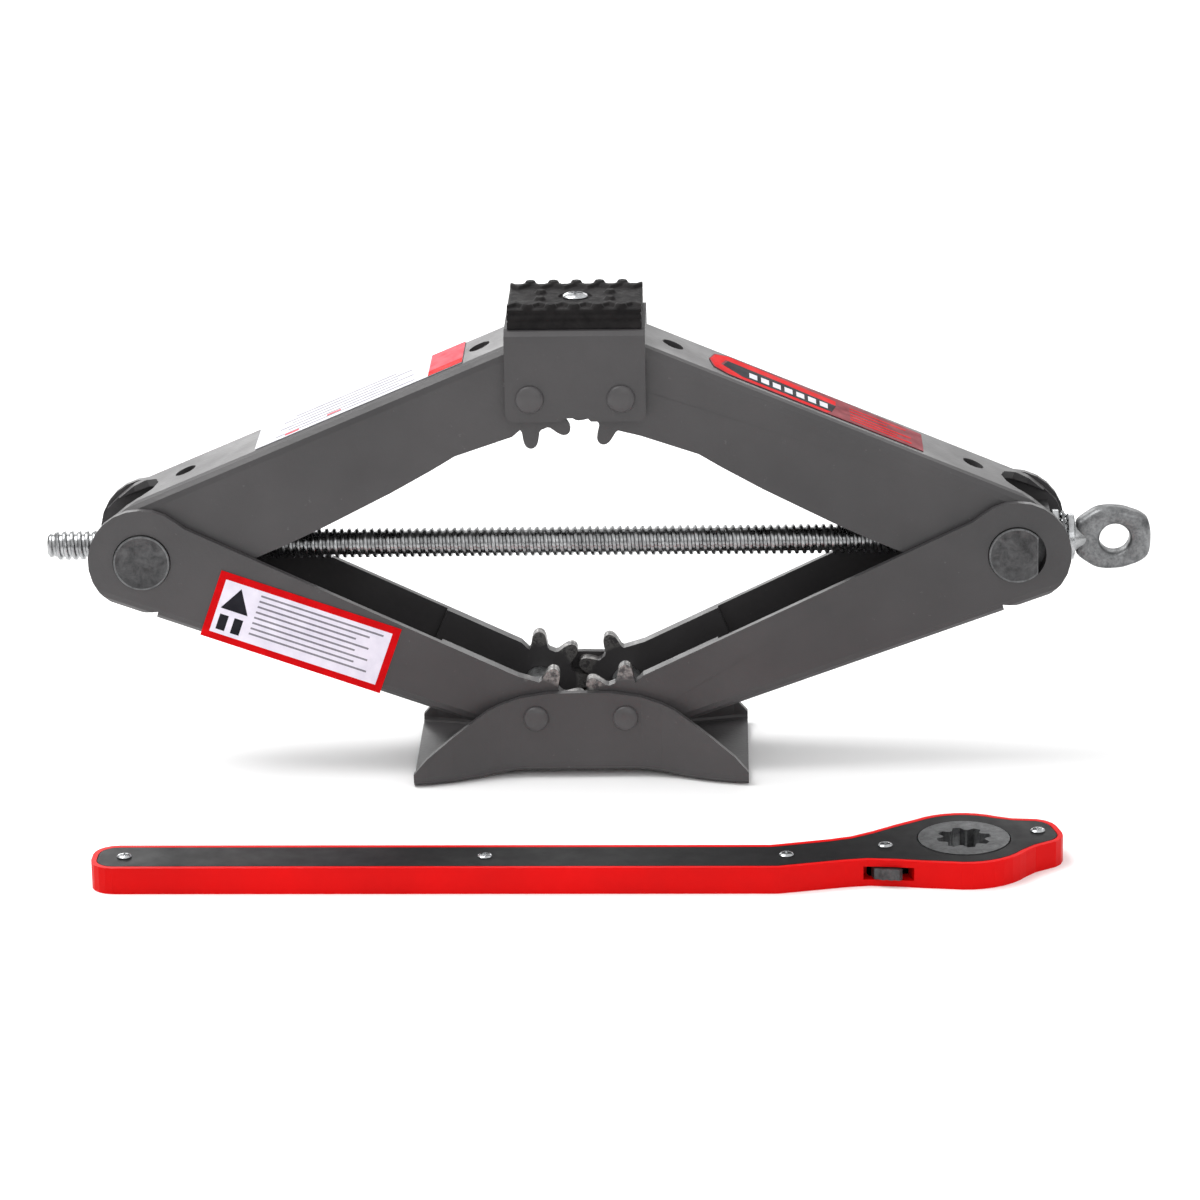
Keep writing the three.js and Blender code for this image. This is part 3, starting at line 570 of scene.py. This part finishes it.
left_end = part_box("lead_screw")[0][0] / MM - TRUNNION_RIGHT.x / MM
rod = threaded_rod("screw_thread", left_end + 0.9, 15.5, TRUNNION_RIGHT)
core = lathe("screw_core", [
    (0, left_end), (3.9, left_end), (4.9, left_end + 0.9), (4.9, left_end + 1.6), (4.3, left_end + 2.4),
    (4.3, 13.6), (5.85, 14.6), (5.85, 24.0), (5.0, 27.0), (4.2, 29.0), (0, 29.4)],
    "x", TRUNNION_RIGHT, THREAD, 40)
head = eye("screw_eye", TRUNNION_RIGHT)
for piece in (rod, core, head):
    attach(piece, "screw")
    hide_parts("lead_screw")


# ---------------------------------------------------------------- thrust bearing

for node, body in (("thrust_race_fixed", "right_trunnion"), ("thrust_race_turning", "screw")):
    low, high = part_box(node)
    a, b = (low[0] - TRUNNION_RIGHT.x) / MM, (high[0] - TRUNNION_RIGHT.x) / MM
    r = (high[1] - low[1]) / 2 / MM
    section = [(6.3, a), (r - 0.4, a), (r, a + 0.4), (r, b - 0.4), (r - 0.4, b), (6.3, b)]
    ring = lathe(f"{node}_ring", section, "x", TRUNNION_RIGHT, STEEL, 56)
    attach(ring, body)
    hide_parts(node)

low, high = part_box("thrust_ball_cage")
a, b = (low[0] - TRUNNION_RIGHT.x) / MM, (high[0] - TRUNNION_RIGHT.x) / MM
cage = lathe("cage_ring", [(7.2, a + 0.9), (10.3, a + 0.9), (10.3, b - 0.9), (7.2, b - 0.9)],
             "x", TRUNNION_RIGHT, RING_STEEL, 48)
arc = [(BALL_RADIUS * math.cos(math.radians(d)), BALL_RADIUS * math.sin(math.radians(d)))
       for d in (-60, -30, 0, 30, 60)]
balls = []
for k in range(BALLS):
    turn = 2 * math.pi * k / BALLS
    spot = Vector(((a + b) / 2, BALL_CIRCLE * math.cos(turn), BALL_CIRCLE * math.sin(turn))) * MM
    balls.append(lathe(f"ball_{k + 1}", [(0, -BALL_RADIUS)] + arc + [(0, BALL_RADIUS)], "x",
                       TRUNNION_RIGHT + spot, STEEL, 14))
cage = joined("ball_cage", [cage] + balls)
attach(cage, "ball_cage")
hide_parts("thrust_ball_cage")


# ---------------------------------------------------------------- pad

pad_low, pad_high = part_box("saddle_pad")
PAD = Vector((0, 0, pad_low[2]))
L, D = (pad_high[0] - pad_low[0]) / 2 / MM, (pad_high[1] - pad_low[1]) / 2 / MM
H = (pad_high[2] - pad_low[2]) / MM


def pad_body():
    """A moulded block: round knobs along both long edges, joined by zigzag ridges, and a sunk floor."""
    steps_x, steps_y = 132, 100
    sunk = H - 1.5              # the floor between the ridges
    recess = H - 2.3            # the floor of the hollow round the screw
    knob_row = D - 2.5          # the rows of knobs, along both long edges
    inner_row = 5.2             # the two pairs of knobs nearer the middle

    def height(x, y):
        edge = min(L - abs(x), D - abs(y))
        column = min(2, max(-2, round(x / TREAD_PITCH)))
        knob = math.hypot(x - column * TREAD_PITCH, abs(y) - knob_row)
        inner = math.hypot(abs(x) - TREAD_PITCH * 1.5, abs(y) - inner_row)
        t = abs(((x / TREAD_PITCH) % 1.0) - 0.5) * 2
        line = knob_row - 5.4 * (1 - t)
        ridge = abs(abs(y) - line) * 0.72
        rise = 1.15 * min(1, max(0.0, (1.7 - ridge) / 0.6))
        rise = max(rise, 1.7 * min(1, max(0.0, (2.7 - knob) / 0.9)))
        rise = max(rise, 1.3 * min(1, max(0.0, (2.4 - inner) / 0.8)))
        r = math.hypot(x, y)
        if r < 8.6:
            rise = min(rise, 1.2 * max(0.0, (r - 7.6) / 1.0))
        value = sunk + rise
        if r < 6.4:
            value = recess
        if edge < 0.8:
            value -= (0.8 - edge) ** 2 * 0.6
        return value

    verts, faces = [], []
    for j in range(steps_y + 1):
        for i in range(steps_x + 1):
            x = -L + 2 * L * i / steps_x
            y = -D + 2 * D * j / steps_y
            verts.append(PAD + Vector((x, y, height(x, y))) * MM)
    row = steps_x + 1
    for j in range(steps_y):
        for i in range(steps_x):
            faces.append((j * row + i, j * row + i + 1, (j + 1) * row + i + 1, (j + 1) * row + i))
    rim = list(range(row))
    rim += [j * row + steps_x for j in range(1, steps_y + 1)]
    rim += [steps_y * row + i for i in range(steps_x - 1, -1, -1)]
    rim += [j * row for j in range(steps_y - 1, 0, -1)]
    # the side walls carry two shallow grooves all round
    walls = [(0.70, 0), (0.66, 0.35), (0.60, 0.35), (0.56, 0), (0.40, 0), (0.36, 0.35), (0.30, 0.35),
             (0.26, 0), (0, 0)]
    count = len(rim)
    above = rim
    for share, inset in walls:
        start = len(verts)
        for k in rim:
            x = (verts[k].x - PAD.x) * (1 - inset / L)
            y = (verts[k].y - PAD.y) * (1 - inset / D)
            verts.append(PAD + Vector((x, y, H * share * MM)))
        below = [start + k for k in range(count)]
        for k in range(count):
            n = (k + 1) % count
            faces.append((above[k], below[k], below[n], above[n]))
        above = below
    faces.append(tuple(reversed(above)))
    return sharp(new_mesh("pad_tread", verts, faces, RUBBER), 50)


pad = pad_body()
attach(pad, "saddle")
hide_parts("saddle_pad")

seat = H - 2.2
profile = [(0, -8.0), (2.8, -8.0), (2.8, seat), (4.9, seat), (5.0, seat + 0.8)]
profile += [(4.9 * math.cos(math.radians(d)), seat + 0.9 + 1.3 * math.sin(math.radians(d)))
            for d in (15, 35, 55, 72)]
profile += [(0, seat + 2.2)]
screw_top = lathe("pad_screw_head", profile, "z", PAD, STEEL, 36)


def cross_cut(obj, at, reach, half, depth):
    """Two crossed slots, as a boolean with a plus-shaped prism."""
    plus = [(half, half), (reach, half), (reach, -half), (half, -half),
            (half, -reach), (-half, -reach), (-half, -half), (-reach, -half),
            (-reach, half), (-half, half), (-half, reach), (half, reach)]
    tool = slab(f"{obj.name}_slots", plus, -depth, 3,
                lambda a, b, h: at + Vector((a, b, h)) * MM, (STEEL,))
    mod = obj.modifiers.new("slots", "BOOLEAN")
    mod.operation = "DIFFERENCE"
    mod.solver = "EXACT"
    mod.object = tool
    bpy.context.view_layer.update()
    graph = bpy.context.evaluated_depsgraph_get()
    mesh = bpy.data.meshes.new_from_object(obj.evaluated_get(graph))
    obj.modifiers.clear()
    obj.data = mesh
    bpy.data.objects.remove(tool, do_unlink=True)
    return sharp(obj)


cross_cut(screw_top, PAD + Vector((0, 0, (seat + 2.2) * MM)), 2.9, 0.55, 1.2)
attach(screw_top, "saddle")
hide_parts("pad_screw")
dress("pad_nut", ZINC, 0.35, 2, 30)


# ---------------------------------------------------------------- labels

REST = math.atan2(TRUNNION_LEFT.z - PIVOTS["lower_left"].z,
                  PIVOTS["lower_left"].x - TRUNNION_LEFT.x)


def arm_place(side, level, origin_u, origin_v, tilt=0.0):
    """Points on an arm: u from its geared pivot to the trunnion, v towards its web."""
    pivot = PIVOTS[f"{'saddle' if level > 0 else 'lower'}_{'left' if side < 0 else 'right'}"]
    cos, sin = math.cos(REST), math.sin(REST)

    def at(a, b, y):
        u = origin_u + a * math.cos(tilt) - b * math.sin(tilt)
        v = origin_v + a * math.sin(tilt) + b * math.cos(tilt)
        return Vector((pivot.x + side * (u * cos + v * sin) * MM, y * MM,
                       pivot.z + level * (v * cos - u * sin) * MM))
    return at


def rect(a0, b0, a1, b1):
    return [(a0, b0), (a1, b0), (a1, b1), (a0, b1)]


def bar_rows(prefix, place, low, high, rows, material):
    """Plain bars and blocks, one for each (a0, b0, a1, b1)."""
    return [slab(f"{prefix}_{k}", rect(*row), low, high, place, (material,))
            for k, row in enumerate(rows)]


# Heights are mm above the painted face, and each layer starts just inside the one below it.
# Front label on the lower left arm: red border, pale field, a triangle, two blocks and rows of bars.
flat = arm_place(-1, -1, 99.4, 2.9, math.radians(3.2))


def on_front(a, b, h):
    return flat(a, b, -LOWER_ARM_FACE - h)


# a runs towards the trunnion, so the viewer's left is +a; b is positive downwards
plates = [slab("front_sheet", rect(-37.5, -14.2, 37.5, 14.2), 0.12, 0.42, on_front, (LABEL_RED,), 0.08),
          slab("front_field", rect(-34.6, -11.3, 34.6, 11.3), 0.40, 0.52, on_front, (LABEL_WHITE,)),
          slab("front_triangle", [(33.2, 0.6), (22.0, 0.6), (27.6, -9.4)], 0.5, 0.6, on_front,
               (LABEL_BLACK,))]
rows = []
for k in range(8):
    top = -9.6 + k * 2.35
    rows.append((-31.5 + (k * 5) % 11, top, 19.4, top + 0.8))
plates += bar_rows("front_bar", on_front, 0.5, 0.58, rows, LABEL_GREY)
blocks = [(23, 3.0, 26.6, 9.6), (29, 3.0, 32.6, 9.6)]
plates += bar_rows("front_block", on_front, 0.5, 0.58, blocks, LABEL_BLACK)
label = joined("front_print", plates)
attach(label, "lower_left")
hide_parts("front_label")

# Web labels lie on the top of the upper arms.


def web_place(side):
    base = arm_place(side, 1, 0, 0)

    def at(u, y, h):
        return base(u, UPPER_WEB_FACE + h, y)
    return at


left_web = web_place(-1)
plates = [slab("left_sheet", rect(19.4, -14.5, 109, 16), 0.12, 0.36, left_web, (LABEL_PALE,), 0.06),
          slab("left_block", rect(19.4, -14.5, 34, 16), 0.34, 0.44, left_web, (LABEL_PINK,)),
          slab("left_block_edge", rect(19.4, -14.5, 34, -8), 0.43, 0.5, left_web, (LABEL_RED,))]
rows = []
for k in range(6):
    y = -11 + k * 4.2
    rows.append((40 + (k * 7) % 13, y, 100 - (k * 5) % 9, y + 1.0))
plates += bar_rows("left_bar", left_web, 0.34, 0.42, rows, LABEL_GREY)
marks = [(72, -9.6, 78, -7.8), (90, -13.2, 96, -11)]
plates += bar_rows("left_mark", left_web, 0.34, 0.44, marks, LABEL_PINK)
label = joined("left_top_print", plates)
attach(label, "upper_left")
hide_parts("left_top_label")

right_web = web_place(1)
sheet = [(28, 0), (30, -9), (36, -12.4), (78, -12.5), (119, -12.5), (119, 11), (84, 13.5), (36, 13.4),
         (30, 9)]
edge = [(28.4, 0), (30.6, -8.6), (36.4, -11.8), (78, -11.9), (80, -8), (42, -8.2), (33, -2), (35, 6),
        (60, 5), (82, 3), (82, 9), (36, 12.6), (30.6, 8.6)]
band = [(36, 6), (34, -2), (42, -8.6), (80, -8.6), (82, 2), (60, 4.5)]
plates = [slab("right_sheet", sheet, 0.12, 0.36, right_web, (LABEL_ROSE,), 0.06),
          slab("right_edge", edge, 0.34, 0.40, right_web, (LABEL_RED,)),
          slab("right_band", band, 0.34, 0.44, right_web, (LABEL_BLACK,))]
bars = [(45 + k * 5.0, -6.0, 48.4 + k * 5.0, 0.6) for k in range(7)]
plates += bar_rows("right_bar", right_web, 0.42, 0.5, bars, LABEL_PALE)
lines = [(88, -9, 114, -7.4), (88, -5.6, 108, -4.2), (88, -2, 114, -0.6), (88, 2.4, 104, 3.6),
         (88, 6.4, 112, 7.6)]
plates += bar_rows("right_line", right_web, 0.34, 0.42, lines, LABEL_RED)
label = joined("right_top_print", plates)
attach(label, "upper_right")
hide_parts("right_top_label")


# ---------------------------------------------------------------- wrench

dress("wrench_body", RED, 0.7, 3)
for node in ("wrench_top_plate", "wrench_bottom_plate"):
    dress(node, BLACK, 0.25, 2, 40)
dress("ratchet_ring", RING_STEEL, 0.35, 2, 30)
dress("ratchet_pawl", RING_STEEL, 0.2, 2, 30)
dress("direction_lever", PIN_STEEL, 0.25, 2, 30)

for k in range(1, 6):
    node = f"wrench_screw_{k}"
    low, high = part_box(node)
    at = Vector(((low[0] + high[0]) / 2, (low[1] + high[1]) / 2, low[2]))
    tall = (high[2] - low[2]) / MM
    profile = [(0, 0), (1.3, 0), (1.3, tall - 1.0), (2.8, tall - 1.0), (2.8, tall - 0.7),
               (2.5, tall - 0.35), (1.8, tall - 0.05), (0, tall)]
    head = lathe(f"wrench_screw_head_{k}", profile, "z", at, STEEL, 32)
    cross_cut(head, at + Vector((0, 0, tall * MM)), 1.7, 0.34, 0.55)
    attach(head, "wrench")
    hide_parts(node)


# ---------------------------------------------------------------- stage, light, camera

ground = new_mesh("floor", [(-6, -4, 0), (6, -4, 0), (6, 14, 0), (-6, 14, 0)], [(0, 1, 2, 3)])
n = Nodes("pale_floor")
floor_color = n.ramp(n.noise(3, 2), [(0.3, (0.93, 0.93, 0.93)), (0.7, (0.95, 0.95, 0.95))])
give(ground, n.done(floor_color, Roughness=0.9))

world = bpy.data.worlds.new("studio")
world.use_nodes = True
sky = world.node_tree
direction = sky.nodes.new("ShaderNodeTexCoord").outputs["Generated"]
parts = sky.nodes.new("ShaderNodeSeparateXYZ")
fade = sky.nodes.new("ShaderNodeValToRGB")
fade.color_ramp.elements[0].position = 0.02
fade.color_ramp.elements[0].color = (0.42, 0.42, 0.42, 1)
fade.color_ramp.elements[1].position = 0.75
fade.color_ramp.elements[1].color = (1, 1, 1, 1)
sky.links.new(direction, parts.inputs[0])
sky.links.new(parts.outputs[2], fade.inputs[0])
sky.links.new(fade.outputs[0], sky.nodes["Background"].inputs[0])
sky.nodes["Background"].inputs[1].default_value = 1.1
bpy.context.scene.world = world
bpy.context.scene.view_settings.view_transform = "Standard"


def soft_light(name, spot, target, size, power):
    data = bpy.data.lights.new(name, "AREA")
    data.shape = "RECTANGLE"
    data.size, data.size_y = size
    data.energy = power
    obj = bpy.data.objects.new(name, data)
    bpy.context.collection.objects.link(obj)
    obj.location = spot
    direction = Vector(target) - Vector(spot)
    obj.rotation_euler = direction.to_track_quat("-Z", "Y").to_euler()


soft_light("key", (-0.7, 0.1, 1.5), (0, 0, 0.1), (1.2, 1.0), 24)
soft_light("fill", (0.5, -1.7, 0.9), (0, 0, 0.1), (1.3, 1.0), 5)
soft_light("back_left", (-0.75, 2.1, 0.75), (-0.1, 0, 0.12), (1.1, 0.7), 9)
soft_light("back_right", (0.7, 2.1, 0.8), (0.1, 0, 0.12), (0.8, 0.6), 4)

ELEVATION, YAW, ROLL = math.radians(17.66), math.radians(1.86), math.radians(1.07)
DISTANCE = 1.9
TARGET = Vector((0, 0, 0.090))
forward = Vector((-math.sin(YAW) * math.cos(ELEVATION), math.cos(YAW) * math.cos(ELEVATION),
                  -math.sin(ELEVATION)))
camera_data = bpy.data.cameras.new("camera")
camera_data.sensor_width = 36
camera_data.lens = 143.0
camera_data.clip_start = 0.05
camera_data.clip_end = 40
camera_data.shift_x = 0.0168
camera_data.shift_y = -0.0478
camera = bpy.data.objects.new("camera", camera_data)
bpy.context.collection.objects.link(camera)
camera.location = TARGET - forward * DISTANCE
turn = forward.to_track_quat("-Z", "Y").to_matrix() @ Matrix.Rotation(-ROLL, 3, "Z")
camera.rotation_euler = turn.to_euler()
bpy.context.scene.camera = camera
